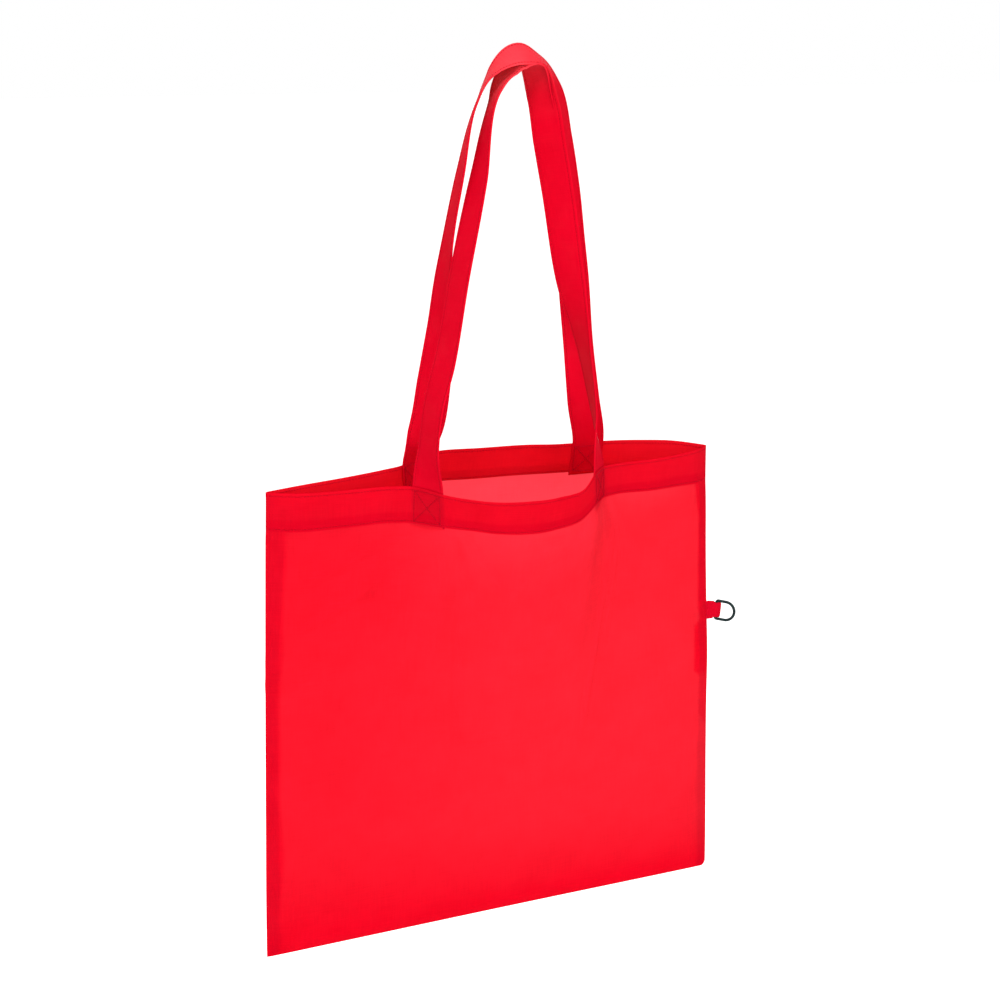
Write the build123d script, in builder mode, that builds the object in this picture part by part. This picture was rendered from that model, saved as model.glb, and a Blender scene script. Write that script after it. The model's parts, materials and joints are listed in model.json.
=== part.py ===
"""Foldable tote bag in thin woven cloth, hung by its two long handles with its mouth open.

Millimetres. +X runs along the bag's width, +Y from the front panel to the back panel, +Z up. The origin is
on the axis of the rail or hook that the handles hang over, in the middle of the front handle's arc.
"""

import os
from math import atan2, cos, degrees, exp, floor, radians, sin

from build123d import *

# Bag body: one cloth, folded at the bottom and sewn up both sides
body_width = 400.0
body_height = 380.0
mouth_narrowing = 13.0  # each side seam leans in this far by the rim, because the mouth is open
front_bulge = 58.0  # how far the middle of the front rim stands out from the side seams
back_bulge = 46.0
cloth = 0.6
bottom_crease = 1.0  # thickness of cloth at the bottom fold
fold_height = 95.0  # the crease that the bottom quarter folds up along

# Hem round the mouth, and the side seams' allowances, which lie inside the bag
hem_height = 30.0
hem_layer = 0.36
seam_allowance = 10.0
seam_thickness = 1.0

# Handles: two flat straps, sewn inside the hem, with the front one's loop inside the back one's
strap_width = 27.0
strap_thickness = 0.8
strap_spacing = 145.0  # between the middles of one handle's two ends, with the mouth open
strap_tail = 1.0  # the sewn end reaches this far below the hem
hang_radius = 18.0  # inside of the front handle's arc
back_hang_radius = 24.0
hang_height = 300.0  # hang axis above the rim
hang_forward = 14.0  # hang axis in front of the plane of the side seams
hang_sideways = 10.0  # middle of the loops, to the right of the bag's middle

# Stitching
thread_width = 0.8
thread_proud = 0.3
stitch_margin = 2.3  # from an edge to its row of stitches

# Side tab and its ring
tab_width = 15.6
tab_reach = 15.3  # from the side seam to the tab's folded end
tab_drop = 143.8  # from the rim to the middle of the tab
tab_droop = 5.3  # degrees: the tab and ring hang a little below square
tab_layer = 0.5
tab_slack = 2.4  # the tab's loop goes on this far past the ring's bar
tab_corner = 2.0  # the tab's outer corners are pressed round
tab_shoulder = 2.6  # the tab gathers to the ring's inside height this far before the bar
ring_wire = 2.4
ring_height = 18.2
ring_depth = 18.2
ring_turn = 45.0  # degrees: the ring hangs turned this far towards the front
ring_corner = 1.3  # radius of the wire's middle line at the ends of the straight bar

# Clearances
layer_gap = 0.12  # between layers of cloth in one body
fold_gap = 0.4  # across the bottom quarter's crease
crease_clearance = 0.3  # crease line in front of the cloth
root_gap = 0.5  # between a handle and the rim that it is hinged on
root_clearance = 0.6  # handle's hinge line outside the cloth
loop_gap = 2.0  # between the two handles at the top of the loops
bar_clearance = 0.3  # round the ring's bar inside the tab

# Places that follow from the sizes
FRONT, BACK = -1, 1
rim_z = -hang_height
bottom_z = rim_z - body_height
seam_y = hang_forward
bag_x = -hang_sideways
panel_inside = seam_thickness / 2 + layer_gap
panel_outside = panel_inside + cloth
hem_outside = panel_inside - layer_gap
hem_inside = hem_outside - hem_layer
strap_outside = hem_inside - layer_gap
strap_inside = strap_outside - strap_thickness
bulges = {FRONT: front_bulge, BACK: back_bulge}
loop_radii = {FRONT: hang_radius, BACK: back_hang_radius}
back_axis_z = hang_radius + strap_thickness + loop_gap - back_hang_radius
loop_axis_z = {FRONT: 0.0, BACK: back_axis_z}
column_step = 0.1  # of the half width, between two stations of a panel
row_step = body_height / 8
leg_rows = 8  # sections of a handle's leg
hem_foot = body_height - hem_height


def half_width(height):
    """Half the bag's width, this far above its bottom fold."""
    return body_width / 2 - mouth_narrowing * height / body_height


def belly(share, height):
    """How far out a panel stands, as a share of its bulge. share is -1 to 1 across the bag.

    The mouth is a wide lens whose middle third stands out between the handles. The bottom is flat.
    """
    across = 0.45 * (1 - abs(share) ** 3) + 0.55 * exp(-((share / 0.36) ** 4))
    return max(0.0, across) * (height / body_height) ** 2


def wall_y(side, share, height, outward=0.0):
    """Where a layer of a panel stands: straight between the stations of one grid, so that layers nest."""
    column, row = floor(share / column_step), floor(height / row_step)
    u, v = share / column_step - column, height / row_step - row
    stands_out = sum(
        weight_u * weight_v * belly(i * column_step, j * row_step)
        for i, weight_u in ((column, 1 - u), (column + 1, u))
        for j, weight_v in ((row, 1 - v), (row + 1, v))
    )
    return seam_y + side * (bulges[side] * stands_out + outward)


def rim_share(x):
    """The share of the half width where x, from the bag's middle, lies on the rim."""
    return x / half_width(body_height)


def stations(low, high, step):
    """From low to high, through every station of the grid between them."""
    first, last = floor(low / step + 1.01), floor(high / step - 0.01)
    return [low, *[step * i for i in range(first, last + 1)], high]


def wall_line(side, low_share, high_share, height, outward):
    """Points along a panel at one height."""
    return [
        (bag_x + share * half_width(height), wall_y(side, share, height, outward))
        for share in stations(low_share, high_share, column_step)
    ]


def wall(side, low, high, inside, outside, low_share=-1.0, high_share=1.0):
    """A layer of cloth that follows a panel."""
    sections = []
    for height in stations(low, high, row_step):
        with BuildSketch(Plane.XY.offset(bottom_z + height)) as section:
            with BuildLine():
                near = wall_line(side, low_share, high_share, height, inside)
                far = wall_line(side, low_share, high_share, height, outside)
                Polyline(*near, *reversed(far), close=True)
            make_face()
        sections.append(section.sketch)
    loft(sections, ruled=True)


def pocket(low, high, outward, reach_share, mode=Mode.ADD):
    """The whole space between the two panels, as one solid."""
    sections = []
    for height in stations(low, high, row_step):
        with BuildSketch(Plane.XY.offset(bottom_z + height)) as section:
            with BuildLine():
                front = wall_line(FRONT, -reach_share, reach_share, height, outward)
                back = wall_line(BACK, -reach_share, reach_share, height, outward)
                Polyline(*front, *reversed(back), close=True)
            make_face()
        sections.append(section.sketch)
    loft(sections, ruled=True, mode=mode)


def seam_strip(end, low, high):
    """The seam allowances along one side, lying inside the bag. end is -1 on the left and 1 on the right."""
    sections = []
    for height in (low, high):
        middle = bag_x + end * (half_width(height) - seam_allowance / 2)
        with BuildSketch(Plane.XY.offset(bottom_z + height)) as section:
            with Locations((middle, seam_y)):
                Rectangle(seam_allowance, seam_thickness)
        sections.append(section.sketch)
    loft(sections, ruled=True)


def save(piece, name):
    """Label a finished piece and write it under its name."""
    piece.part.label = name
    export_step(piece.part, f"parts/{name}.step")


os.makedirs("parts", exist_ok=True)

# ---- Bag body ----

upper_foot = fold_height + fold_gap / 2
lower_top = fold_height - fold_gap / 2

with BuildPart() as front_panel:
    wall(FRONT, upper_foot, body_height, panel_inside, panel_outside)
save(front_panel, "front_panel")

with BuildPart() as back_panel:
    wall(BACK, upper_foot, body_height, panel_inside, panel_outside)
save(back_panel, "back_panel")

with BuildPart() as bottom_quarter:
    pocket(0.0, lower_top, panel_outside, 1.0)
    pocket(bottom_crease, lower_top + 1.0, panel_inside, 1.05, mode=Mode.SUBTRACT)
save(bottom_quarter, "bottom_quarter")

for side, name in ((FRONT, "front_hem"), (BACK, "back_hem")):
    with BuildPart() as hem:
        wall(side, hem_foot, body_height, hem_inside, hem_outside)
    save(hem, name)

tab_middle = body_height - tab_drop
tab_low = tab_middle - tab_width / 2
tab_high = tab_middle + tab_width / 2
seam_foot = bottom_crease + layer_gap
seam_top = hem_foot - layer_gap

with BuildPart() as left_side_seam:
    seam_strip(-1, upper_foot, seam_top)
save(left_side_seam, "left_side_seam")

with BuildPart() as right_side_seam:
    seam_strip(1, upper_foot, tab_low - layer_gap)
    seam_strip(1, tab_high + layer_gap, seam_top)
save(right_side_seam, "right_side_seam")

for end, name in ((-1, "left_side_seam_foot"), (1, "right_side_seam_foot")):
    with BuildPart() as seam_end:
        seam_strip(end, seam_foot, lower_top)
    save(seam_end, name)

# Two rows of stitches hold each hem: one just under the rim, one just above the hem's turned edge
hem_rows = (hem_foot + stitch_margin, body_height - stitch_margin - thread_width)
thread_inside = panel_outside + layer_gap
thread_outside = thread_inside + thread_proud

for side, name in ((FRONT, "front_hem_stitching"), (BACK, "back_hem_stitching")):
    with BuildPart() as hem_stitching:
        for row in hem_rows:
            wall(side, row, row + thread_width, thread_inside, thread_outside)
    save(hem_stitching, name)

# ---- Sewn ends of the handles ----

end_names = {
    (FRONT, -1): "front_left",
    (FRONT, 1): "front_right",
    (BACK, -1): "back_left",
    (BACK, 1): "back_right",
}
cross_low = hem_rows[0] + thread_width + layer_gap
cross_high = hem_rows[1] - layer_gap
cross_half = strap_width / 2 - stitch_margin


def crossed_box(middle_x):
    """Openings that leave a box of stitches with two diagonals: four triangles, seen from the front."""
    low, high = bottom_z + cross_low + thread_width, bottom_z + cross_high - thread_width
    left, right = -cross_half + thread_width, cross_half - thread_width
    middle_z = (low + high) / 2
    slope = atan2(high - low, right - left)
    back_x = thread_width / 2 / sin(slope)
    back_z = thread_width / 2 / cos(slope)
    with BuildSketch(Plane.XZ) as openings:
        for corners in (
            [(left + back_x, low), (right - back_x, low), (0, middle_z - back_z)],
            [(left + back_x, high), (right - back_x, high), (0, middle_z + back_z)],
            [(left, low + back_z), (left, high - back_z), (-back_x, middle_z)],
            [(right, low + back_z), (right, high - back_z), (back_x, middle_z)],
        ):
            with BuildLine():
                Polyline(*[(bag_x + middle_x + x, z) for x, z in corners], close=True)
            make_face()
    extrude(openings.sketch, amount=body_width / 2, both=True, mode=Mode.SUBTRACT)


for (side, end), name in end_names.items():
    middle_x = end * strap_spacing / 2
    shares = [rim_share(middle_x - strap_width / 2), rim_share(middle_x + strap_width / 2)]
    cross_shares = [rim_share(middle_x - cross_half), rim_share(middle_x + cross_half)]
    with BuildPart() as handle_end:
        wall(side, hem_foot - strap_tail, body_height, strap_inside, strap_outside, *shares)
    save(handle_end, f"{name}_handle_end")
    with BuildPart() as cross_stitching:
        wall(side, cross_low, cross_high, thread_inside, thread_outside, *cross_shares)
        crossed_box(middle_x)
    save(cross_stitching, f"{name}_cross_stitching")

# ---- Handles ----


def leg_rise(step):
    """Share of the way down a leg, and how far it has spread and turned by there."""
    down = step / (leg_rows - 1)
    return down, down**1.25


def strap(side, across_low, across_high, inside, outside):
    """A band of a handle's strap, between two distances across it and two distances out from its inner face.

    The top is half a ring. Each leg goes down from it, spreads, leans to its own side of the mouth, and
    makes a quarter turn, so that its width comes to lie along the rim.
    """
    radius, axis_z = loop_radii[side], loop_axis_z[side]
    # The front handle's outer face turns to the front by the rim, the back handle's to the back
    middle_plane = Plane.XZ.offset(-side * (across_low + across_high) / 2)
    with BuildSketch(middle_plane) as half_ring:
        with BuildLine():
            outer = CenterArc((0, axis_z), radius + outside, 0, 180)
            inner = CenterArc((0, axis_z), radius + inside, 0, 180)
            Line(outer @ 0, inner @ 0)
            Line(outer @ 1, inner @ 1)
        make_face()
    extrude(half_ring.sketch, amount=(across_high - across_low) / 2, both=True)
    root_z = rim_z + root_gap
    for end in (-1, 1):
        root_x = end * strap_spacing / 2
        share = rim_share(root_x)
        root_y = wall_y(side, share, body_height, (strap_inside + strap_outside) / 2)
        near_y = wall_y(side, rim_share(root_x - strap_width / 2), body_height)
        far_y = wall_y(side, rim_share(root_x + strap_width / 2), body_height)
        rim_slope = degrees(atan2(far_y - near_y, strap_width))
        root_turn = rim_slope if end == 1 else 180 + rim_slope
        top_turn = -side * 90 if end == 1 else 180 + side * 90
        outward = side * end
        sections = []
        for step in range(leg_rows):
            down, spread = leg_rise(step)
            turn = radians(top_turn + (root_turn - top_turn) * down)
            top_x = end * (radius + strap_thickness / 2)
            x, y = top_x + (bag_x + root_x - top_x) * spread, root_y * down
            out = outward * ((inside + outside) / 2 - strap_thickness / 2)
            over = (across_low + across_high) / 2
            with BuildSketch(Plane.XY.offset(axis_z + (root_z - axis_z) * down)) as section:
                with Locations(
                    (x + over * cos(turn) - out * sin(turn), y + over * sin(turn) + out * cos(turn))
                ):
                    Rectangle(across_high - across_low, outside - inside, rotation=degrees(turn))
            sections.append(section.sketch)
        loft(sections, ruled=True)


edge_row = strap_width / 2 - stitch_margin
row_inside = strap_thickness + layer_gap
for side, name in ((FRONT, "front_handle"), (BACK, "back_handle")):
    with BuildPart() as handle:
        strap(side, -strap_width / 2, strap_width / 2, 0.0, strap_thickness)
    save(handle, name)
    with BuildPart() as handle_stitching:
        for row in (-edge_row, edge_row - thread_width):
            strap(side, row, row + thread_width, row_inside, row_inside + thread_proud)
    save(handle_stitching, f"{name}_stitching")

# ---- Side tab and ring ----

tab_z = bottom_z + tab_middle
tab_root = bag_x + half_width(tab_middle)
bar_hole = ring_wire / 2 + bar_clearance
tab_eye = bar_hole + tab_layer
bar_reach = tab_reach - tab_eye - tab_slack
tab_neck = ring_height - 2 * ring_wire - 2 * bar_clearance
droop = radians(tab_droop)
along_tab = Vector(cos(droop), 0, -sin(droop))  # away from the seam
up_tab = Vector(sin(droop), 0, cos(droop))
tab_start = Vector(tab_root, seam_y, tab_z)
bar_middle = tab_start + along_tab * bar_reach
root_lap = 0.6  # the straight, sewn-in root goes on this far past the seam

with BuildPart() as side_tab:
    with BuildSketch(Plane(origin=tab_start - up_tab * (tab_width / 2), x_dir=along_tab, z_dir=up_tab)):
        with Locations((bar_reach / 2, 0)):
            Rectangle(bar_reach, 2 * tab_layer)
        with Locations((bar_reach + tab_slack / 2, 0)):
            SlotCenterToCenter(tab_slack, 2 * tab_eye)
            SlotCenterToCenter(tab_slack, 2 * bar_hole, mode=Mode.SUBTRACT)
    extrude(amount=tab_width)
    with BuildSketch(Plane(origin=tab_start, x_dir=along_tab, z_dir=(0, -1, 0))):
        with Locations((bar_reach - tab_shoulder - tab_width, 0)):
            RectangleRounded(2 * tab_width, tab_width, tab_corner)
        with Locations((tab_reach - tab_width / 2, 0)):
            RectangleRounded(tab_width, tab_neck, tab_corner)
    extrude(amount=tab_eye, both=True, mode=Mode.INTERSECT)
    with BuildSketch(Plane.XY.offset(tab_z - tab_width / 2)):
        with Locations((tab_root + (root_lap - seam_allowance) / 2, seam_y)):
            Rectangle(seam_allowance + root_lap, 2 * tab_layer)
    extrude(amount=tab_width)
save(side_tab, "side_tab")

# A box of stitches closes the tab round the bar, on both of its faces
tab_rows_from = stitch_margin
tab_rows_to = bar_reach - tab_eye - thread_width
tab_face = tab_layer + layer_gap
with BuildPart() as side_tab_stitching:
    for face in (FRONT, BACK):
        row_start = tab_start + Vector(0, face * (tab_face + thread_proud / 2), 0)
        with BuildSketch(Plane(origin=row_start, x_dir=along_tab, z_dir=(0, -1, 0))):
            with Locations(((tab_rows_from + tab_rows_to) / 2, 0)):
                Rectangle(tab_rows_to - tab_rows_from, tab_width - 2 * stitch_margin)
                Rectangle(
                    tab_rows_to - tab_rows_from - 2 * thread_width,
                    tab_width - 2 * stitch_margin - 2 * thread_width,
                    mode=Mode.SUBTRACT,
                )
        extrude(amount=thread_proud / 2, both=True)
save(side_tab_stitching, "side_tab_stitching")

turn = radians(ring_turn)
out_of_bag = along_tab * cos(turn) + Vector(0, -sin(turn), 0)
ring_plane = Plane(origin=bar_middle, x_dir=out_of_bag, z_dir=out_of_bag.cross(up_tab))
with BuildPart() as d_ring:
    half_height = (ring_height - ring_wire) / 2
    bow_middle = ring_depth - ring_wire - half_height
    with BuildLine(ring_plane) as ring_path:
        CenterArc((bow_middle, 0), half_height, -90, 180)
        FilletPolyline(
            (bow_middle, half_height),
            (0, half_height),
            (0, -half_height),
            (bow_middle, -half_height),
            radius=ring_corner,
        )
    with BuildSketch(Plane(origin=ring_path.wire() @ 0, z_dir=ring_path.wire() % 0)):
        Circle(ring_wire / 2)
    sweep(path=ring_path.wire())
save(d_ring, "d_ring")
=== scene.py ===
"""Foldable tote bag: its cloth, stitching, handles, tab and ring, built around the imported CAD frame.

Shapes are worked out in millimetres in the bag's own frame (x from its middle, y from the plane of its side
seams, z up from its bottom fold) and then placed in the row frame.
"""
import json
import math

import bpy
import numpy as np
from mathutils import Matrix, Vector


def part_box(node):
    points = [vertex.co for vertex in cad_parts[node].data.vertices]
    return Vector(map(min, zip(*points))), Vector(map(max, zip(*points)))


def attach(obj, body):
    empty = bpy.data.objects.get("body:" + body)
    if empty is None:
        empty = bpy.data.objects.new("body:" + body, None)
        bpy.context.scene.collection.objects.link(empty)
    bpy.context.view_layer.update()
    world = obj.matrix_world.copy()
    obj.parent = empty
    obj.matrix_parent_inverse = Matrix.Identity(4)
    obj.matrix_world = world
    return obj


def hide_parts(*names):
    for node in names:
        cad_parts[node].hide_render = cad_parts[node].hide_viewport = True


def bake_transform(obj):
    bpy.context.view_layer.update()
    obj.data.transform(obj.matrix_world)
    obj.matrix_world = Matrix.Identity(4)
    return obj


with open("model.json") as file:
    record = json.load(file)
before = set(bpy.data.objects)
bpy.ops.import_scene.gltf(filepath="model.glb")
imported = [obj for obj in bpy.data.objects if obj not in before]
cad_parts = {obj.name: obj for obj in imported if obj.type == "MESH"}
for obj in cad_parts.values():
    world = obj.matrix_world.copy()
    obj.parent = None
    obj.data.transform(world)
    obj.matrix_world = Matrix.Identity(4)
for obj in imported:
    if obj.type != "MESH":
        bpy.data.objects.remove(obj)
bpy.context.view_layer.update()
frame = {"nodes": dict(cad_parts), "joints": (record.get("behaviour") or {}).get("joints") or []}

MM = 0.001
SEED = 7

bottom_low, bottom_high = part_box("bottom_quarter")
panel_low, panel_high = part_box("front_panel")
seam_low, seam_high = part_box("left_side_seam")
ORIGIN = np.array([(bottom_low.x + bottom_high.x) / 2, (seam_low.y + seam_high.y) / 2, bottom_low.z])
WIDTH = (bottom_high.x - bottom_low.x) / MM
HEIGHT = (panel_high.z - bottom_low.z) / MM

HEM = 30.0  # depth of the hem
TURN = 9.0  # raw edge turned under inside the hem
LAYER = 0.35  # between layers of cloth
STRAP = 27.0
STITCH_MARGIN = 2.3  # from a strap's or the tab's edge to its row of stitches
FRONT, BACK = -1, 1
SIDES = ((FRONT, "front"), (BACK, "back"))
CORNER = 5.0  # radius of the corner at the right end of the bottom fold
# the panels hang this far off the plane of the seams, so that the seam allowances have room between them
APART = 0.9


# ---------------------------------------------------------------- curves

def spline(keys, at):
    """Smooth curve through rows of (station, values...), read at the given stations."""
    keys = np.array(keys, float)
    t, v = keys[:, 0], keys[:, 1:]
    slope = np.gradient(v, t, axis=0)
    at = np.clip(np.asarray(at, float), t[0], t[-1])
    i = np.clip(np.searchsorted(t, at) - 1, 0, len(t) - 2)
    step = t[i + 1] - t[i]
    s = ((at - t[i]) / step)[..., None]
    step = step[..., None]
    return (
        (2 * s**3 - 3 * s**2 + 1) * v[i] + (s**3 - 2 * s**2 + s) * step * slope[i]
        + (3 * s**2 - 2 * s**3) * v[i + 1] + (s**3 - s**2) * step * slope[i + 1]
    )


def smooth(low, high, x):
    """0 below low, 1 above high, eased between."""
    t = np.clip((np.asarray(x, float) - low) / (high - low), 0, 1)
    return t * t * (3 - 2 * t)


def between(low, full, fading, gone, x):
    """0 below low, 1 from full to fading, and 0 again above gone."""
    return smooth(low, full, x) * (1 - smooth(fading, gone, x))


def bell(x, middle, width):
    """1 at the middle, falling off to each side."""
    return np.exp(-(((x - middle) / width) ** 2))


# Rim of each panel: distance along the cloth from the left seam, then x, y, z, how far the hem leans outwards
# to the top and how far its foot swings to the right, in degrees. The places were set around ones that
# another program had worked out from the photo's outline: they are measurements, not dimensions to design with.
RIMS = {
    FRONT: [
        (0, -186.4, 0, 380, 0, 0), (15, -172, -7, 379.4, 0, 0), (62, -126, -14, 378.8, 5, 0),
        (94, -96, -19, 379.4, 8, -1), (110, -81, -24, 379, 8, 0), (123.5, -73, -34, 378, 10, 4),
        (137, -65, -44, 376, 16, 8), (160, -44, -50, 371, 24, 5), (186, -20, -53, 367, 23, 0),
        (209, 3, -54, 365.5, 18, 0), (234, 28, -54, 366, 18, 2), (250, 49, -53, 369.5, 20, 5),
        (263, 60.5, -49, 380, 16, 9), (276.5, 70, -39, 381, 16.5, 10), (290, 79, -29, 380, 17, 10),
        (306, 94, -26, 380, 20, 6), (341, 130, -24, 380, 17, 0), (370, 158, -16, 380, 12, 0),
        (386, 174, -9, 380, 5, 0), (400, 186.4, 0, 380, 0, 0),
    ],
    BACK: [
        (0, -186.4, 0, 380, 0, 0), (25, -162, 5, 380.6, -4, 0), (70, -116, 9, 382.8, -12, 0),
        (98, -88, 12, 384.6, -16, 4), (113, -74, 15, 385.5, -18, 8), (126.5, -64, 24, 386, -20, 8),
        (140, -54, 33, 387, -21, 6), (168, -30, 44.5, 386.5, -21, 0), (205, 5, 44.5, 385.3, -21, 0),
        (245, 42, 37, 386, -22, 2), (274, 66.5, 31, 385.5, -24, 7), (287.5, 80, 30, 385.2, -24, 7),
        (301, 93.5, 29, 385, -24, 6), (315, 107, 28, 385, -20, 2), (350, 140, 22, 384, -10, 0),
        (378, 166, 14, 382.4, -3, 0), (400, 186.4, 0, 380, 0, 0),
    ],
}
ENDS = {(FRONT, -1): 123.5, (FRONT, 1): 276.5, (BACK, -1): 126.5, (BACK, 1): 301.0}
FOOT_CURL = 0.09  # how far down the lean of the hem is felt, as a share of the panel


def ripples(side, u, z):
    """Small folds in the cloth, outwards in mm."""
    down = HEIGHT - z
    out = np.zeros_like(u)
    if side == FRONT:
        # short pulls that fan out below the two handle ends
        pulls = ((-20, -0.55, 1.3), (-9, -0.25, 1.7), (6, 0.12, 1.5), (17, 0.42, 1.8), (30, 0.8, 1.2))
        for end in (-1, 1):
            for offset, slant, size in pulls:
                line = ENDS[side, end] - end * (offset + slant * (down - HEM))
                fade = between(26, 44, 70, 150, down)
                out += size * fade * bell(u, line, 4.5 + 0.05 * down)
        # long soft folds down the panel
        out += 2.6 * bell(u, 200 + 0.10 * down, 26) * between(25, 90, 150, 330, down)
        out -= 2.2 * bell(u, 160 - 0.05 * down, 16) * between(60, 120, 190, 300, down)
        out += 1.6 * bell(u, 275 - 0.28 * down, 7) * between(30, 60, 120, 190, down)
        out += 1.3 * bell(u, 118 - 0.55 * (down - 60), 9) * between(40, 80, 100, 150, down)
        out += 1.3 * bell(u, 335 + 0.35 * (down - 150), 8) * between(110, 160, 210, 270, down)
        out -= 1.0 * bell(u, 8, 14) * bell(z, 245, 9)
        # sharp creases left by folding: two from the right handle end, some slanting up from the left seam
        out += 1.7 * bell(u, 301 - 0.18 * (down - 75), 2.8) * between(45, 80, 200, 255, down)
        out += 1.3 * bell(u, 308 - 0.15 * (down - 75), 2.4) * between(40, 70, 120, 175, down)
        out += 1.5 * bell(u, 111 - 1.75 * (down - 62), 9) * between(50, 66, 100, 120, down)
        out += 1.2 * bell(u, 92 - 2.4 * (down - 46), 10) * between(36, 46, 66, 80, down)
        out -= 1.3 * bell(down, 152 - 0.16 * u, 6) * (1 - smooth(35, 95, u))
        out -= 0.8 * bell(u, 158, 3.0) * between(90, 130, 210, 222, down)
        out -= 0.7 * bell(down, 218, 3.0) * between(148, 168, 200, 240, u)
    else:
        for middle in (ENDS[BACK, -1], ENDS[BACK, 1]):
            for offset, slant, size in ((-16, -0.4, 1.2), (0, 0.05, 1.4), (18, 0.45, 1.2)):
                fade = between(26, 44, 80, 170, down)
                out += size * fade * bell(u, middle + offset + slant * (down - HEM), 6 + 0.05 * down)
        out += 2.4 * bell(u, 215 - 0.2 * down, 24) * between(25, 80, 140, 300, down)
    # slow unevenness everywhere, none at the seams and the bottom fold
    hold = smooth(0, 40, u) * smooth(0, 40, WIDTH - u) * smooth(0, 60, z) * (1 - 0.75 * smooth(345, 352, z))
    phase = 1.7 if side == FRONT else 4.1
    out += hold * 0.55 * np.sin(u / 23.0 + 1.3 * np.sin(z / 41.0 + phase) + phase)
    out += hold * 0.45 * np.sin(z / 29.0 + 1.6 * np.sin(u / 37.0 + 2 * phase))
    return out


def panel(side, u, s):
    """Where a panel's outer cloth is, at distance u along it and s up the cloth from the bottom fold."""
    u, s = np.broadcast_arrays(np.asarray(u, float), np.asarray(s, float))
    rim = spline(RIMS[side], u)
    rim_x, rim_out, rim_z = rim[..., 0], side * rim[..., 1], rim[..., 2]
    lean, swing = np.radians(rim[..., 3]), np.radians(rim[..., 4])
    fall = np.cos(lean) * np.cos(swing)
    # the hem is stiff, so it is straight from the rim to its foot
    down = HEIGHT - s
    foot_x, foot_out, foot_z = rim_x + HEM * np.sin(swing), rim_out - HEM * np.sin(lean), rim_z - HEM * fall
    # below it the cloth hangs in a soft curve to the bottom fold
    t = np.clip(s / (HEIGHT - HEM), 0, 1)
    turn = (1 - t) * np.exp(-(1 - t) / FOOT_CURL)
    flat_x = u - WIDTH / 2
    x = flat_x + (foot_x - flat_x) * t**1.3 + np.tan(swing) * foot_z * turn
    out = foot_out * t**2.1 - (np.tan(lean) * foot_z - 2.1 * foot_out) * turn
    z = foot_z * t
    in_hem = s > HEIGHT - HEM
    x = np.where(in_hem, rim_x + down * np.sin(swing), x)
    out = np.where(in_hem, rim_out - down * np.sin(lean), out)
    z = np.where(in_hem, rim_z - down * fall, z)
    # it rounds over into the bottom fold, but not at the seams
    held = smooth(0, 22, u) * smooth(0, 22, WIDTH - u)
    out = out + 5.0 * (1 - np.exp(-s / 8.0)) * (1 - smooth(50, 200, s)) * held + ripples(side, u, s)
    out = out + 0.1 + (APART - 0.1) * smooth(0, 2.4, np.minimum(u, WIDTH - u))
    # the seams bow out a little, the right one most where the tab pulls at it, and the bottom fold sags
    bow_left = 2.25 * np.clip((s - 100) / 241, 0, 1) ** 1.3 * (1 - 0.45 * smooth(345, 380, s))
    bow_right = 1.5 * smooth(80, 230, s) + 0.7 * bell(s, 335, 32) + 0.7 * bell(s, 198, 30)
    x = x - bow_left * (1 - smooth(0, 70, u)) + bow_right * (1 - smooth(0, 70, WIDTH - u))
    z = z - (0.8 + 0.8 * smooth(180, 400, u)) * (1 - smooth(0, 80, s))
    # the corner at the right end of the bottom fold is round
    a, b = np.clip(1 - (WIDTH - u) / CORNER, 0, 1), np.clip(1 - s / CORNER, 0, 1)
    x = x - CORNER * a * (1 - np.sqrt(1 - b**2 / 2))
    z = z + CORNER * b * (1 - np.sqrt(1 - a**2 / 2))
    return np.stack([x, side * out, z], -1)


def layers_and_painted_shade_at(side, u, s):
    """How far the cloth is drawn in its dense colours, 0 in the open panel: towards 1 in the hem and seams, where
    the cloth is doubled, with painted shade for the light the extra layers hold back, and painted shade near the
    bottom fold and over parts of the panels.
    """
    u, s = np.broadcast_arrays(np.asarray(u, float), np.asarray(s, float))
    down = HEIGHT - s
    turned = smooth(HEM - TURN - 1.5, HEM - TURN + 1.0, down)
    hem = smooth(HEM + 0.4, HEM - 0.6, down) * (0.89 + 0.11 * turned)
    # the seam allowances' bands: doubled cloth, drawn darker as painted shade for the light it holds back
    left = 12.2 + 1.2 * np.sin(s / 37.0) + 0.7 * np.sin(s / 13.0 + 1) + 2.0 * smooth(250, 350, s)
    if side == BACK:
        left = left * 0.75
    at_left = 0.9 * (1 - smooth(left - 3.5, left + 7.0, u))
    # the right allowance's width, as its darker band of painted shade measures in the photo: it is wider beside
    # the tab
    right = np.interp(down, [30, 45, 60, 140, 150, 156, 196, 202, 236, 248, 380],
                      [16, 14, 11, 11, 9, 15, 15, 9, 9, 0.6, 0.6])
    at_right = (0.92 - 0.4 * smooth(196, 204, down)) * (1 - smooth(right - 1.8, right + 1.6, WIDTH - u))
    at_right = at_right * smooth(0.8, 2.5, right)
    # painted shade rising from the bottom fold, reaching higher towards the left
    reach = np.interp(u, [0, 60, 190, 330, 400], [105, 95, 55, 40, 38])
    foot = np.exp(-((np.clip(s - 8, 0, None) / reach) ** 1.25))
    # painted shade: darker towards the left and the top of the front; the back is drawn a little darker all over
    if side == FRONT:
        close = 0.5 * (1 - smooth(20, 300, u)) + 0.15 * (1 - smooth(60, 170, down))
    else:
        close = np.full_like(u, 0.3)
    return np.maximum.reduce([hem, at_left, at_right, foot, close])


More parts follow.
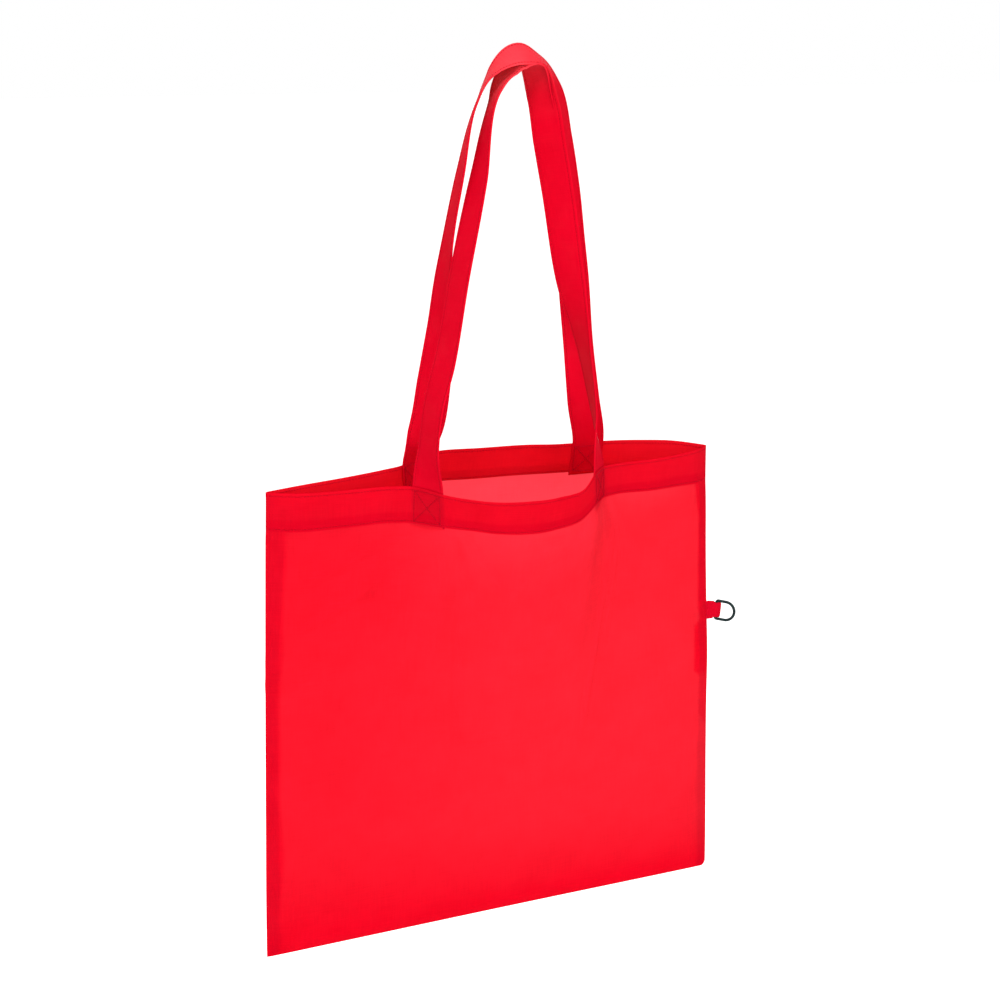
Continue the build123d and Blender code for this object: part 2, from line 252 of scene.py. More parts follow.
def frame_at(side, u, z):
    """Point on the outer cloth, and unit vectors along u and outwards."""
    d = 0.5
    here = panel(side, u, z)
    along = panel(side, np.clip(u + d, 0, WIDTH), z) - panel(side, np.clip(u - d, 0, WIDTH), z)
    upward = panel(side, u, np.clip(z + d, 0, HEIGHT)) - panel(side, u, np.clip(z - d, 0, HEIGHT))
    outward = np.cross(along, upward) * (1 if side == FRONT else -1)
    unit = lambda v: v / np.linalg.norm(v, axis=-1, keepdims=True)
    return here, unit(along), unit(outward)


def on_cloth(side, u, z, out):
    """Point at a distance outwards from the middle of the outer cloth."""
    here, _, outward = frame_at(side, u, z)
    return here + outward * np.asarray(out)[..., None]


# ---------------------------------------------------------------- meshes

def to_row(points):
    return ORIGIN + np.asarray(points).reshape(-1, 3) * MM


def make(name, points, faces, material, uv=None, layers=None):
    """A mesh object from points in the bag's frame."""
    mesh = bpy.data.meshes.new(name)
    mesh.from_pydata([tuple(p) for p in to_row(points)], [], [tuple(int(i) for i in f) for f in faces])
    mesh.update()
    if uv is not None:
        layer = mesh.uv_layers.new(name="cloth")
        loops = np.zeros(len(mesh.loops), np.int32)
        mesh.loops.foreach_get("vertex_index", loops)
        layer.data.foreach_set("uv", (np.asarray(uv).reshape(-1, 2)[loops] * MM).astype(np.float32).ravel())
    if layers is not None:
        # the attribute "layers" carries doubled cloth together with painted shade and painted highlight
        doubled = mesh.attributes.new("layers", "FLOAT", "POINT")
        values = np.broadcast_to(layers, len(mesh.vertices)).astype(np.float32)
        doubled.data.foreach_set("value", values.ravel())
    mesh.polygons.foreach_set("use_smooth", np.ones(len(mesh.polygons), bool))
    obj = bpy.data.objects.new(name, mesh)
    bpy.context.collection.objects.link(obj)
    mesh.materials.append(material)
    return obj


def grid_faces(rows, columns, closed=False, start=0):
    """Quads of a grid of rows x columns points. closed joins the last column to the first."""
    r = np.arange(rows - 1)[:, None]
    c = np.arange(columns if closed else columns - 1)[None, :]
    n = (c + 1) % columns
    a, b = r * columns + c, r * columns + n
    return (start + np.stack([a, b, b + columns, a + columns], -1)).reshape(-1, 4)


# ---------------------------------------------------------------- materials

def nodes_of(name):
    material = bpy.data.materials.new(name)
    material.use_nodes = True
    tree = material.node_tree
    return material, tree, tree.nodes["Principled BSDF"], tree.nodes["Material Output"]


def math_node(tree, operation, a, b=None):
    node = tree.nodes.new("ShaderNodeMath")
    node.operation = operation
    for socket, value in zip(node.inputs, (a, b)):
        if value is None:
            continue
        if hasattr(value, "is_output"):
            tree.links.new(value, socket)
        else:
            socket.default_value = value
    return node.outputs[0]


def noise(tree, vector, scale, detail=2.0, stretch=(1, 1, 1)):
    """Noise over the cloth, with its grain stretched along one thread direction."""
    mapping = tree.nodes.new("ShaderNodeMapping")
    mapping.inputs["Scale"].default_value = [scale * s for s in stretch]
    tree.links.new(vector, mapping.inputs["Vector"])
    texture = tree.nodes.new("ShaderNodeTexNoise")
    texture.inputs["Scale"].default_value = 1.0
    texture.inputs["Detail"].default_value = detail
    tree.links.new(mapping.outputs[0], texture.inputs["Vector"])
    return texture.outputs["Fac"]


def ramp(tree, value, low, high, at=(0.0, 1.0)):
    node = tree.nodes.new("ShaderNodeValToRGB")
    node.color_ramp.elements[0].position, node.color_ramp.elements[1].position = at
    node.color_ramp.elements[0].color = (*low, 1)
    node.color_ramp.elements[1].color = (*high, 1)
    tree.links.new(value, node.inputs[0])
    return node.outputs[0]


def blend_colours(tree, amount, first, second):
    node = tree.nodes.new("ShaderNodeMix")
    node.data_type = "RGBA"
    tree.links.new(amount, node.inputs[0])
    tree.links.new(first, node.inputs[6])
    tree.links.new(second, node.inputs[7])
    return node.outputs[2]


TONES = (0.30, 0.70)  # a cloth goes from its darkest to its lightest colour between these tones


def woven(name, dense, thin, through, share, gloss, weave=1.0):
    """Plain-woven cloth.

    dense is its darkest and lightest colour where layers lie on each other and where shade is painted, thin the
    same where there is one layer and where a highlight is painted, with the attribute "layers" between them.
    through is the lightest colour of the light that passes, where there are layers and where there is one; share
    is how much does. weave is how fine the threads are.
    """
    material, tree, shader, output = nodes_of(name)
    uv = tree.nodes.new("ShaderNodeUVMap")
    uv.uv_map = "cloth"
    threads = uv.outputs["UV"]
    warp = noise(tree, threads, 900 * weave, 2.0, (1.0, 0.05, 1))
    weft = noise(tree, threads, 900 * weave, 2.0, (0.05, 1.0, 1))
    grain = math_node(tree, "ADD", warp, weft)
    cloud = noise(tree, threads, 28, 3.0)
    mottle = math_node(tree, "ADD", math_node(tree, "MULTIPLY", grain, 0.8), cloud)
    tone = math_node(tree, "MULTIPLY", mottle, 0.42)
    colour = ramp(tree, tone, *dense, TONES)
    layers = tree.nodes.new("ShaderNodeAttribute")
    layers.attribute_name = "layers"
    patchy = math_node(tree, "MULTIPLY_ADD", noise(tree, threads, 60, 3.0), 0.16)
    tree.links.new(layers.outputs["Fac"], patchy.node.inputs[2])
    amount = math_node(tree, "SUBTRACT", patchy, 0.08)
    amount.node.use_clamp = True
    colour = blend_colours(tree, amount, ramp(tree, tone, *thin, TONES), colour)
    tree.links.new(colour, shader.inputs["Base Color"])
    shader.inputs["Roughness"].default_value = 0.62
    shader.inputs["Specular IOR Level"].default_value = gloss
    wave_u = tree.nodes.new("ShaderNodeTexWave")
    wave_v = tree.nodes.new("ShaderNodeTexWave")
    for wave, axis in ((wave_u, "X"), (wave_v, "Y")):
        wave.bands_direction = axis
        wave.inputs["Scale"].default_value = 380 * weave
        wave.inputs["Distortion"].default_value = 1.2
        wave.inputs["Detail"].default_value = 1.0
        tree.links.new(threads, wave.inputs["Vector"])
    weave_height = math_node(tree, "MULTIPLY", wave_u.outputs["Fac"], wave_v.outputs["Fac"])
    height = math_node(tree, "ADD", weave_height, grain)
    bump = tree.nodes.new("ShaderNodeBump")
    bump.inputs["Strength"].default_value = 0.22
    bump.inputs["Distance"].default_value = 0.00022
    tree.links.new(height, bump.inputs["Height"])
    tree.links.new(bump.outputs[0], shader.inputs["Normal"])
    lit = tree.nodes.new("ShaderNodeBsdfTranslucent")
    passed = [ramp(tree, tone, [c * 0.86 for c in most], most, TONES) for most in through]
    tree.links.new(blend_colours(tree, amount, passed[1], passed[0]), lit.inputs["Color"])
    tree.links.new(bump.outputs[0], lit.inputs["Normal"])
    mix = tree.nodes.new("ShaderNodeMixShader")
    mix.inputs[0].default_value = share
    tree.links.new(shader.outputs[0], mix.inputs[1])
    tree.links.new(lit.outputs[0], mix.inputs[2])
    tree.links.new(mix.outputs[0], output.inputs["Surface"])
    return material


def thread_material():
    material, tree, shader, _ = nodes_of("thread")
    place = tree.nodes.new("ShaderNodeTexCoord").outputs["Object"]
    twist = noise(tree, place, 2600, 2.0)
    # the thread is painted darker than the cloth: painted shade where the stitches pull into it
    colour = ramp(tree, twist, (0.27, 0.0006, 0.007), (0.42, 0.0014, 0.012))
    tree.links.new(colour, shader.inputs["Base Color"])
    shader.inputs["Roughness"].default_value = 0.55
    shader.inputs["Specular IOR Level"].default_value = 0.03
    bump = tree.nodes.new("ShaderNodeBump")
    bump.inputs["Strength"].default_value = 0.4
    bump.inputs["Distance"].default_value = 0.0001
    tree.links.new(twist, bump.inputs["Height"])
    tree.links.new(bump.outputs[0], shader.inputs["Normal"])
    return material


def ring_material():
    """Dark coated wire with a faint green-grey patina."""
    material, tree, shader, _ = nodes_of("ring")
    place = tree.nodes.new("ShaderNodeTexCoord").outputs["Object"]
    patina = noise(tree, place, 420, 4.0)
    colour = ramp(tree, patina, (0.003, 0.008, 0.009), (0.012, 0.026, 0.025), (0.35, 0.75))
    tree.links.new(colour, shader.inputs["Base Color"])
    shader.inputs["Metallic"].default_value = 0.0
    shader.inputs["Specular IOR Level"].default_value = 0.07
    rough = tree.nodes.new("ShaderNodeMapRange")
    rough.inputs["To Min"].default_value = 0.26
    rough.inputs["To Max"].default_value = 0.46
    tree.links.new(patina, rough.inputs["Value"])
    tree.links.new(rough.outputs[0], shader.inputs["Roughness"])
    bump = tree.nodes.new("ShaderNodeBump")
    bump.inputs["Strength"].default_value = 0.15
    bump.inputs["Distance"].default_value = 0.0001
    tree.links.new(noise(tree, place, 1500, 3.0), bump.inputs["Height"])
    tree.links.new(bump.outputs[0], shader.inputs["Normal"])
    return material


# the dense colours also serve as painted shade on the panels, beside the doubled hem and seams
CLOTH = woven(
    "cloth",
    dense=((0.475, 0.0006, 0.0098), (0.55, 0.0014, 0.0145)),
    thin=((0.50, 0.0092, 0.020), (0.60, 0.0138, 0.028)),
    through=((0.90, 0.008, 0.040), (0.98, 0.096, 0.125)),
    share=0.42, gloss=0.008,
)
# the webbing's thin colours are the painted highlight over the handles' tops
WEBBING = woven(
    "strap",
    dense=((0.46, 0.0006, 0.0098), (0.535, 0.0013, 0.0145)),
    thin=((0.60, 0.026, 0.042), (0.70, 0.045, 0.060)),
    through=((0.80, 0.006, 0.030), (0.90, 0.030, 0.050)),
    share=0.24, gloss=0.008, weave=1.3,
)
TAB = woven(
    "tab",
    dense=((0.36, 0.0005, 0.0085), (0.44, 0.0012, 0.0125)),
    thin=((0.38, 0.0040, 0.012), (0.46, 0.0060, 0.017)),
    through=((0.60, 0.004, 0.020), (0.70, 0.010, 0.030)),
    share=0.06, gloss=0.008, weave=1.3,
)
THREAD = thread_material()
RING = ring_material()


# ---------------------------------------------------------------- body cloth, one sheet with its hems

def cloth_line():
    """Heights and inward offsets along the sheet, from its raw edge inside the hem to the bottom fold."""
    steps = []
    for z in np.linspace(HEIGHT - HEM + TURN, HEIGHT - HEM + 1.0, 5):
        steps.append((z, -2 * LAYER))
    steps.append((HEIGHT - HEM, -1.5 * LAYER))
    for z in np.linspace(HEIGHT - HEM + 1.0, HEIGHT - 1.0, 16):
        steps.append((z, -LAYER))
    steps.append((HEIGHT - 0.15, -0.75 * LAYER))
    steps.append((HEIGHT, -0.35 * LAYER))
    outer = np.concatenate([
        np.linspace(HEIGHT - 0.6, HEIGHT - HEM + TURN + 1, 13),
        np.linspace(HEIGHT - HEM + TURN - 1, HEIGHT - HEM + 0.5, 7),
        HEIGHT - HEM - np.array([0.3, 1.2, 2.6, 4.4, 6.4]),
        np.linspace(HEIGHT - HEM - 8.7, 6, 150),
        [3.5, 1.8, 0.8, 0.25],
    ])
    for z in outer:
        steps.append((z, 0.0))
    return np.array(steps)


COLUMNS = np.concatenate([[0, 0.6], np.linspace(2, WIDTH - 2, 231), [WIDTH - 0.6, WIDTH]])


def body_cloth():
    line = cloth_line()
    z, out = line[:, 0], line[:, 1]
    halves, doubled = [], []
    for side in (FRONT, BACK):
        grid_z, grid_u = np.meshgrid(z, COLUMNS, indexing="ij")
        grid_out = np.broadcast_to(out[:, None], grid_z.shape)
        points = on_cloth(side, grid_u, grid_z, grid_out)
        halves.append(points)
        inside = 1.0 if side == FRONT else 0.6  # the back hem's inner face is drawn lighter: a painted highlight where light falls on it inside
        doubled.append(np.where(grid_out < 0, inside, layers_and_painted_shade_at(side, grid_u, grid_z)))
    front, back = halves
    fold = 0.5 * (front[-1] + back[-1])
    fold[:, 2] = panel(FRONT, COLUMNS, 0.0)[:, 2]
    points = np.concatenate([front, fold[None], back[::-1]])
    step = np.linalg.norm(np.diff(points, axis=0), axis=-1).mean(1)
    v = np.concatenate([[0], np.cumsum(step)])
    uv = np.stack(np.broadcast_arrays(COLUMNS[None, :], v[:, None]), -1)
    layers = np.concatenate([doubled[0], 0.5 * (doubled[0][-1:] + doubled[1][-1:]), doubled[1][::-1]])
    # the two side seams close the panels' edges, from the rim down to the fold
    rows, columns = points.shape[:2]
    outer = np.arange(np.argmax(z), len(z))
    closing = []
    for column, order in ((0, 1), (columns - 1, -1)):
        for i in outer[:-1]:
            corners = np.array([i, i + 1, rows - 2 - i, rows - 1 - i]) * columns + column
            closing.append(corners[::order])
    faces = np.concatenate([grid_faces(rows, columns), closing])
    obj = make("body_cloth", points, faces, CLOTH, uv, layers.ravel())
    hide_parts("front_panel", "back_panel", "bottom_quarter", "front_hem", "back_hem")
    return obj


body = body_cloth()


# ---------------------------------------------------------------- side seams

def seam_allowance(name, left, low, high, replaced):
    """The two turned-in edges of the cloth, lying against the inside of the front panel."""
    rng = np.random.default_rng(SEED + (1 if left else 2))
    z = np.linspace(low, high, max(8, int((high - low) / 3)))
    wave = np.interp(z, np.linspace(0, HEIGHT, 24), rng.uniform(-0.9, 0.9, 24))
    width = 9.0 + wave + (2.2 * smooth(250, 350, z) if left else 0.0)
    across = np.linspace(0, 1, 7)
    edge = 1.3
    sheets = []
    for layer, depth in enumerate((0.45, 0.8)):
        run = edge + across[None, :] * (width[:, None] - 0.7 * layer)
        u = run if left else WIDTH - run
        points = on_cloth(FRONT, u, z[:, None] + 0 * u, -depth + 0 * u)
        sheets.append((points, np.stack([u, z[:, None] + 0 * u], -1)))
    points = np.concatenate([sheets[0][0].reshape(-1, 3), sheets[1][0].reshape(-1, 3)])
    uv = np.concatenate([sheets[0][1].reshape(-1, 2), sheets[1][1].reshape(-1, 2)])
    rows, columns = len(z), len(across)
    faces = np.concatenate([grid_faces(rows, columns), grid_faces(rows, columns, start=rows * columns)])
    obj = make(name, points, faces, CLOTH, uv, 0.3)
    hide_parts(*replaced)
    return obj


hinge = next(joint for joint in frame["joints"] if joint["name"] == "ring_swing")
BAR = (np.array(hinge["pos_m"]) - ORIGIN) / MM  # the ring's bar
UP_TAB = np.array(hinge["axis"])
ALONG_TAB = np.array([UP_TAB[2], 0.0, -UP_TAB[0]])
BAR_REACH = 10.9  # from the seam to the bar
TAB_HALF = 7.8
TAB_NECK = 6.4  # half the tab's width where it goes through the ring
TAB_Z = (BAR - ALONG_TAB * BAR_REACH)[2]
seams = [
    seam_allowance("left_seam_cloth", True, 2.0, HEIGHT - HEM - 1, ["left_side_seam", "left_side_seam_foot"]),
    seam_allowance("right_seam_cloth", False, 2.0, TAB_Z - TAB_HALF - 1.5, ["right_side_seam_foot"]),
]
upper_seam = seam_allowance(
    "right_seam_cloth_top", False, TAB_Z + TAB_HALF + 1.5, HEIGHT - HEM - 1, ["right_side_seam"],
)


# ---------------------------------------------------------------- handles

# Each handle's middle line and how it faces: x, y, z, the heading of its near edge in degrees, its tilt.
# Another program fitted these rows to the handles' outline in the photo, and some were then changed: they
# are measurements, not dimensions to design with, and the kinks in the handles' edges come from them.
STRAPS = {
    FRONT: [
        (-73.3, -40, 410, -78, 11), (-68.2, -37.5, 441, -82, 7), (-56, -30, 473, -80, 8),
        (-40.6, -24.5, 538, -79, -3), (-24.2, -21, 605, -86, 7), (-9.2, -18, 665, -97, -7),
        (3, -12, 681, -93, 19), (11.5, -14, 691, -82, 34), (21.5, -12.5, 686, -69, 5),
        (30, -15.5, 661, -58, 4), (34, -19.5, 630, -52, 3), (40.5, -21, 593, -51, 2),
        (49, -27.5, 525, -61, 5), (58, -30.5, 480, -88, 3), (67.5, -33.5, 421, -110, -14),
    ],
    BACK: [
        (-54, 19, 407, -8, 2), (-46, 16, 450, -37, 0), (-42.5, 11.5, 489, -63, 2), (-40.5, 7, 538, -88, -9),
        (-29.8, 0, 608, -103, 6), (-17.8, -2.5, 658, -112, -3), (-8.5, -10, 681, -117, 21),
        (15.5, -13.5, 694, -114, 32), (29, -15, 689, -116, 9), (40.5, -15.5, 668, -131, 11),
        (51, -8.5, 632, -142, 0), (59, -1.5, 593, -154, 1), (64.5, 5.5, 554, -169, 0),
        (70.5, 11, 518, -178, -1), (77, 15.5, 471, -177, 2), (83, 17, 424, -185, -8),
    ],
}
FACE_SIDE = 0.55  # half of a handle's thickness
END_DEPTH = 1.35  # a sewn end's middle, inside the outer cloth
TAIL = 1.6  # the sewn ends reach this far below the hem


def end_frames(side, end):
    """Middle line and width direction of a sewn end, from its foot up to the rim."""
    z = np.linspace(HEIGHT - HEM - TAIL, HEIGHT, 14)
    u = np.full_like(z, ENDS[side, end])
    here, along, outward = frame_at(side, u, z)
    middle = here - outward * END_DEPTH
    return middle, along


def strap_frames(side):
    """Middle line, width and normal of a whole handle, from one sewn end over the top to the other."""
    left, left_along = end_frames(side, -1)
    right, right_along = end_frames(side, 1)
    keys = np.array(STRAPS[side], float)
    heading, tilt = np.radians(keys[:, 3]), np.radians(keys[:, 4])
    width = np.stack([np.cos(heading) * np.cos(tilt), np.sin(heading) * np.cos(tilt), -np.sin(tilt)], -1)
    points = np.concatenate([left, keys[:, :3], right[::-1]])
    widths = np.concatenate([left_along, width, -right_along[::-1]])
    run = np.concatenate([[0], np.cumsum(np.linalg.norm(np.diff(points, axis=0), axis=1))])
    at = np.linspace(0, run[-1], int(run[-1] / 2.4))
    table = spline(np.column_stack([run, points, widths]), at)
    middle, width = table[:, :3], table[:, 3:]
    tangent = np.gradient(middle, at, axis=0)
    tangent /= np.linalg.norm(tangent, axis=1, keepdims=True)
    width -= (width * tangent).sum(1, keepdims=True) * tangent
    width /= np.linalg.norm(width, axis=1, keepdims=True)
    normal = np.cross(width, tangent)
    return at, middle, width, normal


def strap_surface(side, at, across, out):
    """Points on a handle: distance along it, across it, and out from its middle line."""
    run, middle, width, normal = FRAMES[side]
    pick = lambda table: np.stack([np.interp(at, run, table[:, i]) for i in range(3)], -1)
    m, w, n = pick(middle), pick(width), pick(normal)
    out = out + 0.35 * np.sin(at / 31.0 + 2 * side) * np.cos(across / 9.0 + at / 60.0)
    return m + w * across[..., None] + n * out[..., None]


FRAMES = {side: strap_frames(side) for side in (FRONT, BACK)}
ROW = STRAP / 2 - STITCH_MARGIN  # rows of stitches, from the middle


def strap(side, name, replaced):
    """A folded and edge-stitched strap with rounded edges, a little sunk along its two rows of stitches."""
    run = FRAMES[side][0]
    half = STRAP / 2
    across = np.concatenate([[-half, -half + 0.15, -half + 0.5], np.linspace(-half + 1.2, half - 1.2, 25),
                             [half - 0.5, half - 0.15, half]])
    rounding = np.clip(np.abs(across) - half + FACE_SIDE, 0, None) / FACE_SIDE
    edge = np.sqrt(np.clip(1 - rounding**2, 0.0, 1))
    swell, sunk = 0.25 * bell(np.abs(across), half - 1.0, 0.9), 0.26 * bell(np.abs(across), ROW, 0.7)
    thick = FACE_SIDE * edge * (1 + swell) - sunk
    at, place = np.meshgrid(run, across, indexing="ij")
    upper = strap_surface(side, at, place, np.broadcast_to(thick, at.shape))
    lower = strap_surface(side, at, place[:, ::-1], np.broadcast_to(-thick[::-1], at.shape))
    ring = np.concatenate([upper, lower[:, 1:-1]], 1)
    columns = ring.shape[1]
    faces = [tuple(f) for f in grid_faces(len(run), columns, closed=True)]
    faces.append(tuple(range(columns - 1, -1, -1)))
    faces.append(tuple(range((len(run) - 1) * columns, len(run) * columns)))
    v = np.concatenate([across, 2 * half - across[::-1][1:-1]])
    uv = np.stack(np.broadcast_arrays(v[None, :], run[:, None]), -1)
    top = run[np.argmax(FRAMES[side][1][:, 2])]
    painted_top_highlight = 1 - 0.95 * bell(run, top - 10.0, 27.0)  # paler over the top: a painted highlight where the light falls strongest
    obj = make(name, ring, faces, WEBBING, uv, np.repeat(painted_top_highlight, columns))
    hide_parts(*replaced)
    return obj


handles = {
    side: strap(side, f"{name}_handle_strap",
                [f"{name}_handle", f"{name}_left_handle_end", f"{name}_right_handle_end"])
    for side, name in SIDES
}


# ---------------------------------------------------------------- stitching

def stitch_row(points, normals, pitch=2.4, length=2.1, radius=0.22):
    """Separate stitches along a line: each rises from the cloth, lies on it and goes down again."""
    points, normals = np.asarray(points, float), np.asarray(normals, float)
    run = np.concatenate([[0], np.cumsum(np.linalg.norm(np.diff(points, axis=0), axis=1))])
    count = max(1, int(run[-1] / pitch))
    verts, faces = [], []
    sides, rings = 6, 5
    swell = np.array([0.35, 0.9, 1.0, 0.9, 0.35]) * radius
    lift = np.array([-0.12, 0.1, 0.15, 0.1, -0.12])
    angle = np.arange(sides) * 2 * math.pi / sides
    for k in range(count):
        middle = (k + 0.5) * run[-1] / count
        s = np.linspace(middle - length / 2, middle + length / 2, rings)
        line = np.stack([np.interp(s, run, points[:, i]) for i in range(3)], -1)
        n = np.stack([np.interp(s, run, normals[:, i]) for i in range(3)], -1)
        n /= np.linalg.norm(n, axis=1, keepdims=True)
        t = np.gradient(line, axis=0)
        t /= np.linalg.norm(t, axis=1, keepdims=True)
        b = np.cross(t, n)
        ring = (line + n * lift[:, None])[:, None, :] + swell[:, None, None] * (
            np.cos(angle)[None, :, None] * b[:, None, :] + np.sin(angle)[None, :, None] * n[:, None, :]
        )
        base = k * sides * rings
        verts.append(ring.reshape(-1, 3))
        faces += [tuple(f) for f in grid_faces(rings, sides, closed=True, start=base)]
        faces.append(tuple(range(base + sides - 1, base - 1, -1)))
        faces.append(tuple(range(base + sides * (rings - 1), base + sides * rings)))
    return np.concatenate(verts), faces


def stitching(name, rows, replaced, **size):
    """One object of all the stitches along several lines."""
    verts, faces, start = [], [], 0
    for points, normals in rows:
        v, f = stitch_row(points, normals, **size)
        verts.append(v)
        faces += [tuple(i + start for i in face) for face in f]
        start += len(v)
    obj = make(name, np.concatenate(verts), faces, THREAD)
    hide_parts(*replaced)
    return obj


def cloth_row(side, u, z, out):
    """A line of points at a distance outwards from the cloth, and the way out at each."""
    here, _, outward = frame_at(side, np.asarray(u, float), np.asarray(z, float))
    return here + outward * out, outward


HEM_ROWS = (HEIGHT - 2.6, HEIGHT - HEM + 2.0)  # the hem's two rows of stitches, under the rim and over its foot


def hem_stitching(side, name, replaced):
    """Two rows of stitches along a hem, on both faces of the cloth."""
    u = np.linspace(1.5, WIDTH - 1.5, 260)
    rows = []
    for z in HEM_ROWS:
        rows.append(cloth_row(side, u, np.full_like(u, z), 0.12))
        inner = cloth_row(side, u, np.full_like(u, z), -(2 * LAYER + 0.15))
        rows.append((inner[0], -inner[1]))
    return stitching(name, rows, replaced)


def cross_stitching(side, end, name, replaced):
    """A box of stitches with both diagonals, through the hem and the handle's end."""
    middle = ENDS[side, end]
    high, low = HEM_ROWS
    corners = [(-ROW, low), (ROW, low), (ROW, high), (-ROW, high), (-ROW, low), (ROW, high)]
    lines = list(zip(corners[:-1], corners[1:])) + [((-ROW, high), (ROW, low))]
    rows = []
    for (u0, z0), (u1, z1) in lines:
        u, z = np.linspace(u0, u1, 12) + middle, np.linspace(z0, z1, 12)
        rows.append(cloth_row(side, u, z, 0.16))
        inner = cloth_row(side, u, z, -(END_DEPTH + FACE_SIDE + 0.12))
        rows.append((inner[0], -inner[1]))
    return stitching(name, rows, replaced, pitch=2.3, length=2.05, radius=0.31)


def strap_stitching(side, name, replaced):
    """A row of stitches along each edge of a handle, on both faces."""
    run = FRAMES[side][0]
    start, stop = HEM + TAIL + 1.5, run[-1] - HEM - TAIL - 1.5
    at = np.linspace(start, stop, 300)
    rows = []
    for across in (-ROW, ROW):
        for face in (-1, 1):
            place = np.full_like(at, across)
            line = strap_surface(side, at, place, np.full_like(at, face * (FACE_SIDE - 0.1)))
            inside = strap_surface(side, at, place, np.zeros_like(at))
            rows.append((line, line - inside))
    return stitching(name, rows, replaced)


hem_rows = [hem_stitching(side, f"{name}_hem_stitches", [f"{name}_hem_stitching"]) for side, name in SIDES]
crosses = [
    cross_stitching(side, end, f"{name}_{hand}_cross_stitches", [f"{name}_{hand}_cross_stitching"])
    for side, name in SIDES for end, hand in ((-1, "left"), (1, "right"))
]
strap_rows = {
    side: strap_stitching(side, f"{name}_handle_stitches", [f"{name}_handle_stitching"]) for side, name in SIDES
}


# ---------------------------------------------------------------- side tab

def tab_points(a, y, c):
    """Points of the tab: away from the seam, towards the back, and up, from where it leaves the seam."""
    a, y, c = (np.asarray(v, float)[..., None] for v in np.broadcast_arrays(a, y, c))
    return BAR + ALONG_TAB * (a - BAR_REACH) + np.array([0.0, 1.0, 0.0]) * y + UP_TAB * c


def side_tab():
    """A short strap folded round the ring's bar, its two ends caught in the side seam."""
    slack, eye, layer = 2.4, 1.72, 0.27  # loop past the bar, its radius, a layer from the middle
    opening = 4.6  # the layers part over this much before the bar
    parting = BAR_REACH - opening
    flat = [(a, -layer) for a in np.linspace(-8, parting, 16)]
    for t in np.linspace(0, 1, 9)[1:]:
        flat.append((parting + opening * t, -layer - (eye - layer) * smooth(0, 1, t)))
    flat += [(BAR_REACH + slack * t, -eye) for t in (0.35, 0.7)]
    bend = np.radians(np.linspace(-90, 90, 13))
    turn = [(BAR_REACH + slack + eye * math.cos(q), eye * math.sin(q)) for q in bend]
    line = np.array(flat + turn + [(a, -y) for a, y in flat[::-1]])
    step = np.gradient(line, axis=0)
    step /= np.linalg.norm(step, axis=1, keepdims=True)
    a, y = line.T
    side_a, side_y = step[:, 1], -step[:, 0]
    end = BAR_REACH + slack + eye
    half = TAB_HALF - (TAB_HALF - TAB_NECK) * smooth(BAR_REACH - 3.6, BAR_REACH - 1.6, a)
    half = half - 0.9 * smooth(end - 1.6, end, a) + 0.15 * np.sin(a / 1.7)
    share = np.linspace(-1, 1, 17)
    thick = 0.22 * np.sqrt(np.clip(1 - np.abs(share) ** 16, 0, 1)) + 0.02
    pucker = 0.12 * np.sin(share * 9.0)[None, :] * bell(a, BAR_REACH - 3.0, 2.0)[:, None]
    rings = []
    for face, order in ((1, slice(None)), (-1, slice(None, None, -1))):
        c = half[:, None] * share[None, order]
        t = face * thick[None, order] + pucker[:, order]
        rings.append(tab_points(a[:, None] + side_a[:, None] * t, y[:, None] + side_y[:, None] * t, c))
    ring = np.concatenate(rings, 1)
    rows, columns = ring.shape[:2]
    faces = [tuple(f) for f in grid_faces(rows, columns, closed=True)]
    faces.append(tuple(range(columns - 1, -1, -1)))
    faces.append(tuple(range((rows - 1) * columns, rows * columns)))
    run = np.concatenate([[0], np.cumsum(np.linalg.norm(np.diff(line, axis=0), axis=1))])
    v = np.concatenate([share, share[::-1] + 2]) * TAB_HALF
    uv = np.stack(np.broadcast_arrays(v[None, :], run[:, None]), -1)
    obj = make("tab_cloth", ring, faces, TAB, uv, 1.0)
    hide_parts("side_tab")
    return obj


tab = side_tab()


def tab_stitching():
    """A box of stitches on both faces of the tab."""
    left, right, half = 1.6, BAR_REACH - 3.4, TAB_HALF - STITCH_MARGIN
    corners = [(left, -half), (right, -half), (right, half), (left, half), (left, -half)]
    rows = []
    for face in (-1, 1):
        for (a0, c0), (a1, c1) in zip(corners[:-1], corners[1:]):
            t = np.linspace(0, 1, 8)
            points = tab_points(a0 + (a1 - a0) * t, face * 0.5, c0 + (c1 - c0) * t)
            rows.append((points, np.tile([0.0, face, 0.0], (8, 1))))
    return stitching("tab_stitches", rows, ["side_tab_stitching"], pitch=2.2, length=1.8)


tab_rows = tab_stitching()

ring = frame["nodes"]["d_ring"]
ring.data.materials.clear()
ring.data.materials.append(RING)
ring.data.polygons.foreach_set("use_smooth", np.ones(len(ring.data.polygons), bool))


# ---------------------------------------------------------------- bodies

def row_point(x, y, z):
    return tuple(to_row([(x, y, z)])[0])


for piece in [body] + seams:
    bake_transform(piece)
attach(upper_seam, "bag")
for side, strap_body in ((FRONT, "front_strap"), (BACK, "back_strap")):
    for piece in (handles[side], strap_rows[side]):
        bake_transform(piece)
for piece in [tab, tab_rows] + hem_rows + crosses:
    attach(piece, "bag")


# ---------------------------------------------------------------- floor, light, camera

FLOOR_REACH = 30.0  # metres from the middle to each side
FLOOR_DROP = 0.55  # metres from the bag's bottom fold down to the floor


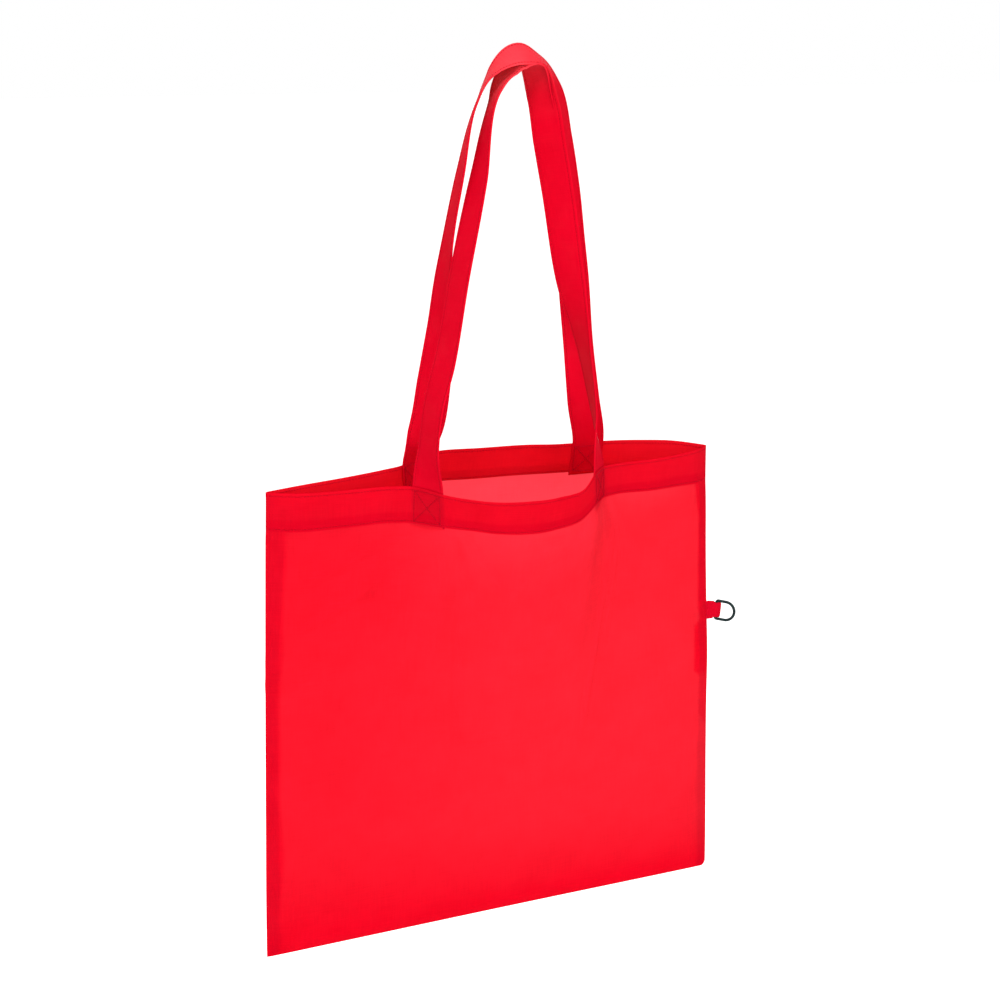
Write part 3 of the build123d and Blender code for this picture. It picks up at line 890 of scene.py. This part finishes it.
def floor():
    """A plain pale floor, well below the hanging bag."""
    mesh = bpy.data.meshes.new("floor")
    level = ORIGIN[2] - FLOOR_DROP
    corners = [(-FLOOR_REACH, -FLOOR_REACH, level), (FLOOR_REACH, -FLOOR_REACH, level),
               (FLOOR_REACH, FLOOR_REACH, level), (-FLOOR_REACH, FLOOR_REACH, level)]
    mesh.from_pydata(corners, [], [(0, 1, 2, 3)])
    obj = bpy.data.objects.new("floor", mesh)
    bpy.context.collection.objects.link(obj)
    material, _, shader, _ = nodes_of("floor")
    shader.inputs["Base Color"].default_value = (0.92, 0.92, 0.92, 1)
    shader.inputs["Roughness"].default_value = 0.9
    shader.inputs["Emission Color"].default_value = (1, 1, 1, 1)
    shader.inputs["Emission Strength"].default_value = 0.3
    mesh.materials.append(material)


def lights():
    """A white surround and three soft lamps."""
    world = bpy.data.worlds.new("world")
    bpy.context.scene.world = world
    world.use_nodes = True
    world.node_tree.nodes["Background"].inputs[0].default_value = (1, 1, 1, 1)
    world.node_tree.nodes["Background"].inputs[1].default_value = 1.0

    # each lamp's name, place, size, power and the point that it is aimed at
    for name, place, size, power, aim in (
        ("key", (-0.15, -2.2, 0.35), 1.4, 41.0, (0, 0, -0.35)),
        ("rim", (0.6, 1.5, 0.7), 1.6, 22.0, (0, 0, -0.4)),
        ("top", (-0.75, -0.85, 1.1), 0.6, 21.0, (0, 0, -0.2)),
    ):
        light = bpy.data.lights.new(name, "AREA")
        light.size, light.energy = size, power
        lamp = bpy.data.objects.new(name, light)
        bpy.context.collection.objects.link(lamp)
        lamp.location = place
        lamp.visible_camera = False
        direction = np.array(aim) - np.array(place)
        lamp.rotation_euler = Vector(direction).to_track_quat("-Z", "Y").to_euler()


# The camera, fitted to the outline in the photo
CAMERA_PLACE = (-540.7, -1228.2, 716.7)
CAMERA_LENS = 63.64
CAMERA_DOWN = 15.144  # degrees below level
CAMERA_TURN = -23.853  # degrees about the vertical


def camera():
    data = bpy.data.cameras.new("camera")
    data.sensor_width = 36.0
    data.lens = CAMERA_LENS
    data.clip_end = 200
    cam = bpy.data.objects.new("camera", data)
    bpy.context.collection.objects.link(cam)
    cam.location = row_point(*CAMERA_PLACE)
    cam.rotation_euler = (math.radians(90 - CAMERA_DOWN), 0, math.radians(CAMERA_TURN))
    bpy.context.scene.camera = cam


floor()
lights()
camera()
bpy.context.scene.view_settings.view_transform = "Standard"
